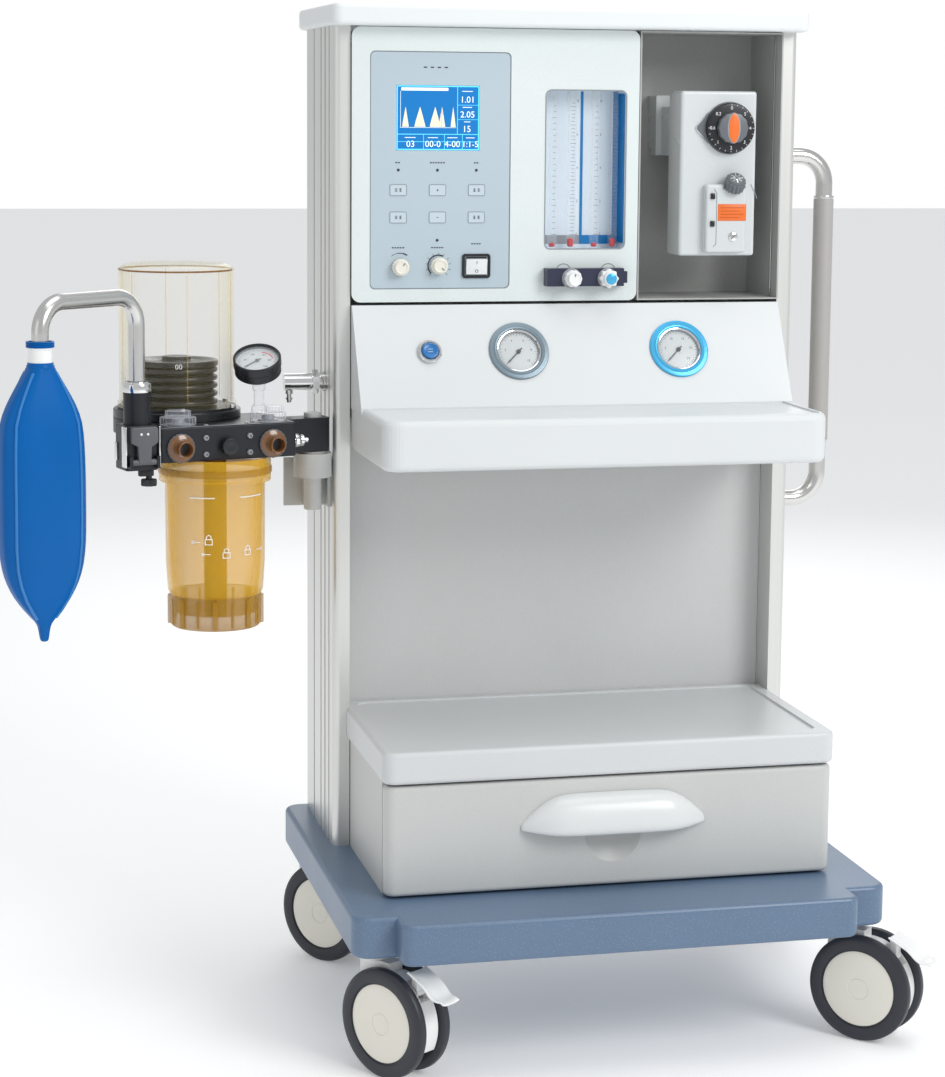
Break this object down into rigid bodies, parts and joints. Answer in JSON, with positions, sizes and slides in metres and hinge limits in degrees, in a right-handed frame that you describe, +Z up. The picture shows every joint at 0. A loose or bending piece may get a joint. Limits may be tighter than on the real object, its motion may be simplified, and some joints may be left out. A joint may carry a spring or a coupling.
{
  "type": "anesthesia machine",
  "caption": "Veterinary anesthesia trolley with display, flow tubes, vaporizer, gauge console and drawer, and a swing-arm absorber with bellows, canister and breathing bag",
  "frame": {"origin": "on the floor under the middle of the machine's footprint, bag and side handle included", "axes": "+X to the viewer's right facing the front, the front faces -Y, +Z up"},
  "size_m": [1.2242, 0.6571, 1.373],
  "materials": {
    "base_tray": "fine textured steel-blue powder coat",
    "columns": "satin anodised extrusion",
    "top_cover": "smooth white moulding",
    "rear_panel": "light grey powder coat",
    "lower_panel": "light grey powder coat",
    "front_panel": "light grey powder coat",
    "display_bezel": "satin printed film",
    "lcd_screen": "lit liquid crystal display",
    "keypad": "satin printed film keys",
    "flow_window": "satin",
    "flow_tubes": "clear graduated glass",
    "flow_manifold": "dark anodised",
    "vaporizer_bay": "dark grey powder coat",
    "vaporizer_body": "satin white enamel",
    "console": "smooth white moulding",
    "supply_gauges": "enamelled case with white dial",
    "worktop": "smooth white moulding",
    "drawer_case": "light grey powder coat",
    "side_handle": "brushed",
    "arm_bracket": "warm grey enamel",
    "gas_outlet": "plated",
    "control_box": "grey primer",
    "volume_knob": "cream moulding",
    "trigger_knob": "cream moulding",
    "power_rocker": "light grey moulding",
    "n2o_floats": "red moulding",
    "o2_floats": "red moulding",
    "n2o_knob": "white moulding",
    "o2_knob": "blue and white moulding",
    "vaporizer_dial": "black dial with grey grip",
    "filler_cap": "anodised",
    "n2o_needle": "black enamel",
    "o2_needle": "black enamel",
    "flush_button": "blue moulding",
    "drawer_tray": "light grey moulding",
    "drawer_handle": "white moulding",
    "fork_fl": "cream moulding",
    "fork_fr": "cream moulding",
    "fork_rl": "cream moulding",
    "fork_rr": "cream moulding",
    "wheel_fl": "dark polyurethane tread with cream hub covers",
    "wheel_fr": "dark polyurethane tread with cream hub covers",
    "wheel_rl": "dark polyurethane tread with cream hub covers",
    "wheel_rr": "dark polyurethane tread with cream hub covers",
    "brake_fl": "white moulding",
    "brake_fr": "white moulding",
    "swing_arm": "black anodised",
    "manifold_block": "black anodised",
    "valve_domes": "clear acrylic",
    "hose_ports": "translucent brown moulding",
    "airway_gauge": "black case, white dial",
    "airway_needle": "black enamel",
    "selector_lever": "dark grey moulding",
    "bag_arm": "polished stainless tube",
    "breathing_bag": "soft blue silicone rubber",
    "bellows_dome": "clear acrylic with a faint yellow tint",
    "bellows": "black rubber folds",
    "bellows_cap": "black moulding",
    "canister": "clear amber polymer",
    "lock_knob": "black moulding"
  },
  "bodies": {
    "machine": {"base_tray": "base_tray", "columns": "columns", "top_cover": "top_cover", "rear_panel": "rear_panel", "lower_panel": "lower_panel", "front_panel": "front_panel", "display_bezel": "display_bezel", "lcd_screen": "lcd_screen", "keypad": "keypad", "flow_window": "flow_window", "flow_tubes": "flow_tubes", "flow_manifold": "flow_manifold", "vaporizer_bay": "vaporizer_bay", "vaporizer_body": "vaporizer_body", "console": "console", "supply_gauges": "supply_gauges", "worktop": "worktop", "drawer_case": "drawer_case", "side_handle": "side_handle", "arm_bracket": "arm_bracket", "gas_outlet": "gas_outlet", "control_box": "control_box"},
    "volume_knob": {"volume_knob": "volume_knob"},
    "trigger_knob": {"trigger_knob": "trigger_knob"},
    "power_rocker": {"power_rocker": "power_rocker"},
    "n2o_knob": {"n2o_knob": "n2o_knob"},
    "o2_knob": {"o2_knob": "o2_knob"},
    "n2o_floats": {"n2o_floats": "n2o_floats"},
    "o2_floats": {"o2_floats": "o2_floats"},
    "vaporizer_dial": {"vaporizer_dial": "vaporizer_dial"},
    "filler_cap": {"filler_cap": "filler_cap"},
    "n2o_needle": {"n2o_needle": "n2o_needle"},
    "o2_needle": {"o2_needle": "o2_needle"},
    "flush_button": {"flush_button": "flush_button"},
    "drawer": {"drawer_tray": "drawer_tray", "drawer_handle": "drawer_handle"},
    "fork_fl": {"fork_fl": "fork_fl"},
    "wheel_fl": {"wheel_fl": "wheel_fl"},
    "brake_fl": {"brake_fl": "brake_fl"},
    "fork_fr": {"fork_fr": "fork_fr"},
    "wheel_fr": {"wheel_fr": "wheel_fr"},
    "brake_fr": {"brake_fr": "brake_fr"},
    "fork_rl": {"fork_rl": "fork_rl"},
    "wheel_rl": {"wheel_rl": "wheel_rl"},
    "fork_rr": {"fork_rr": "fork_rr"},
    "wheel_rr": {"wheel_rr": "wheel_rr"},
    "absorber": {"swing_arm": "swing_arm", "manifold_block": "manifold_block", "valve_domes": "valve_domes", "hose_ports": "hose_ports", "airway_gauge": "airway_gauge", "bellows_dome": "bellows_dome", "bellows": "bellows"},
    "airway_needle": {"airway_needle": "airway_needle"},
    "selector_lever": {"selector_lever": "selector_lever"},
    "bag_arm": {"bag_arm": "bag_arm", "breathing_bag": "breathing_bag"},
    "bellows_cap": {"bellows_cap": "bellows_cap"},
    "canister": {"canister": "canister"},
    "lock_knob": {"lock_knob": "lock_knob"}
  },
  "joints": [
    {"name": "volume_turn", "type": "hinge", "parent": "machine", "child": "volume_knob", "pos_m": [-0.0564, 0.0698, 1.0206], "axis": [0, -1, 0], "range_deg": [-40, 230]},
    {"name": "trigger_turn", "type": "hinge", "parent": "machine", "child": "trigger_knob", "pos_m": [-0.0027, 0.0698, 1.0223], "axis": [0, -1, 0], "range_deg": [-135, 135]},
    {"name": "power_rock", "type": "hinge", "parent": "machine", "child": "power_rocker", "pos_m": [0.05, 0.0718, 1.02175], "axis": [-1, 0, 0], "range_deg": [0, 14]},
    {"name": "n2o_flow_turn", "type": "hinge", "parent": "machine", "child": "n2o_knob", "pos_m": [0.181, 0.051, 1.005], "axis": [0, -1, 0], "range_deg": [0, 540]},
    {"name": "o2_flow_turn", "type": "hinge", "parent": "machine", "child": "o2_knob", "pos_m": [0.232, 0.051, 1.005], "axis": [0, -1, 0], "range_deg": [0, 540]},
    {"name": "n2o_float_rise", "type": "slide", "parent": "machine", "child": "n2o_floats", "axis": [0, 0, 1], "range_m": [0, 0.18]},
    {"name": "o2_float_rise", "type": "slide", "parent": "machine", "child": "o2_floats", "axis": [0, 0, 1], "range_m": [0, 0.18]},
    {"name": "vaporizer_dial_turn", "type": "hinge", "parent": "machine", "child": "vaporizer_dial", "pos_m": [0.405, 0.055, 1.2115], "axis": [0, -1, 0], "range_deg": [0, 240]},
    {"name": "filler_cap_turn", "type": "hinge", "parent": "machine", "child": "filler_cap", "pos_m": [0.41, 0.045, 1.128], "axis": [0, -0.6691, 0.7431], "range_deg": [0, 360]},
    {"name": "n2o_needle_turn", "type": "hinge", "parent": "machine", "child": "n2o_needle", "pos_m": [0.103, 0.03483, 0.907], "axis": [0, 0.8877, -0.4605], "range_deg": [0, 270]},
    {"name": "o2_needle_turn", "type": "hinge", "parent": "machine", "child": "o2_needle", "pos_m": [0.332, 0.03483, 0.907], "axis": [0, 0.8877, -0.4605], "range_deg": [0, 270]},
    {"name": "flush_press", "type": "slide", "parent": "machine", "child": "flush_button", "axis": [0, 0.8877, -0.4605], "range_m": [0, 0.004], "stiffness_N_per_m": 900},
    {"name": "drawer_slide", "type": "slide", "parent": "machine", "child": "drawer", "axis": [0, -1, 0], "range_m": [0, 0.22]},
    {"name": "swivel_fl", "type": "hinge", "parent": "machine", "child": "fork_fl", "pos_m": [-0.141, -0.211, 0.15], "axis": [0, 0, 1], "continuous": true},
    {"name": "roll_fl", "type": "hinge", "parent": "fork_fl", "child": "wheel_fl", "pos_m": [-0.12143, -0.24002, 0.072], "axis": [-0.829, -0.5592, 0], "continuous": true},
    {"name": "brake_lift_fl", "type": "hinge", "parent": "fork_fl", "child": "brake_fl", "pos_m": [-0.09906, -0.27318, 0.118], "axis": [-0.829, -0.5592, 0], "range_deg": [0, 10]},
    {"name": "swivel_fr", "type": "hinge", "parent": "machine", "child": "fork_fr", "pos_m": [0.502, -0.211, 0.15], "axis": [0, 0, 1], "continuous": true},
    {"name": "roll_fr", "type": "hinge", "parent": "fork_fr", "child": "wheel_fr", "pos_m": [0.52631, -0.23618, 0.072], "axis": [-0.7193, -0.6947, 0], "continuous": true},
    {"name": "brake_lift_fr", "type": "hinge", "parent": "fork_fr", "child": "brake_fr", "pos_m": [0.5541, -0.26495, 0.118], "axis": [-0.7193, -0.6947, 0], "range_deg": [0, 10]},
    {"name": "swivel_rl", "type": "hinge", "parent": "machine", "child": "fork_rl", "pos_m": [-0.142, 0.262, 0.15], "axis": [0, 0, 1], "continuous": true},
    {"name": "roll_rl", "type": "hinge", "parent": "fork_rl", "child": "wheel_rl", "pos_m": [-0.1195, 0.23519, 0.072], "axis": [-0.766, -0.6428, 0], "continuous": true},
    {"name": "swivel_rr", "type": "hinge", "parent": "machine", "child": "fork_rr", "pos_m": [0.504, 0.262, 0.15], "axis": [0, 0, 1], "continuous": true},
    {"name": "roll_rr", "type": "hinge", "parent": "fork_rr", "child": "wheel_rr", "pos_m": [0.5265, 0.23519, 0.072], "axis": [-0.766, -0.6428, 0], "continuous": true},
    {"name": "arm_swing", "type": "hinge", "parent": "machine", "child": "absorber", "pos_m": [-0.175, 0.08, 0.794], "axis": [0, 0, 1], "range_deg": [-40, 40]},
    {"name": "airway_needle_turn", "type": "hinge", "parent": "absorber", "child": "airway_needle", "pos_m": [-0.26121, 0.01035, 0.90145], "axis": [0.1378, 0.4806, -0.866], "range_deg": [0, 270]},
    {"name": "selector_flip", "type": "hinge", "parent": "absorber", "child": "selector_lever", "pos_m": [-0.41774, -0.05009, 0.777], "axis": [0.9703, 0.2419, 0], "range_deg": [0, 35]},
    {"name": "bag_arm_turn", "type": "hinge", "parent": "absorber", "child": "bag_arm", "pos_m": [-0.42415, -0.02438, 0.9], "axis": [0, 0, 1], "range_deg": [-60, 60]},
    {"name": "bellows_rise", "type": "slide", "parent": "absorber", "child": "bellows_cap", "axis": [0, 0, 1], "range_m": [0, 0.11], "deforming": ["bellows"]},
    {"name": "canister_turn", "type": "hinge", "parent": "absorber", "child": "canister", "pos_m": [-0.31473, 0.03692, 0.65], "axis": [0, 0, 1], "range_deg": [0, 25]},
    {"name": "lock_knob_turn", "type": "hinge", "parent": "absorber", "child": "lock_knob", "pos_m": [-0.40935, -0.02172, 0.76], "axis": [0, 0, 1], "range_deg": [-90, 0]}
  ],
  "couplings": [
    {"joint": "n2o_float_rise", "follows": "n2o_flow_turn", "m_per_rad": 0.019098},
    {"joint": "o2_float_rise", "follows": "o2_flow_turn", "m_per_rad": 0.019098}
  ]
}
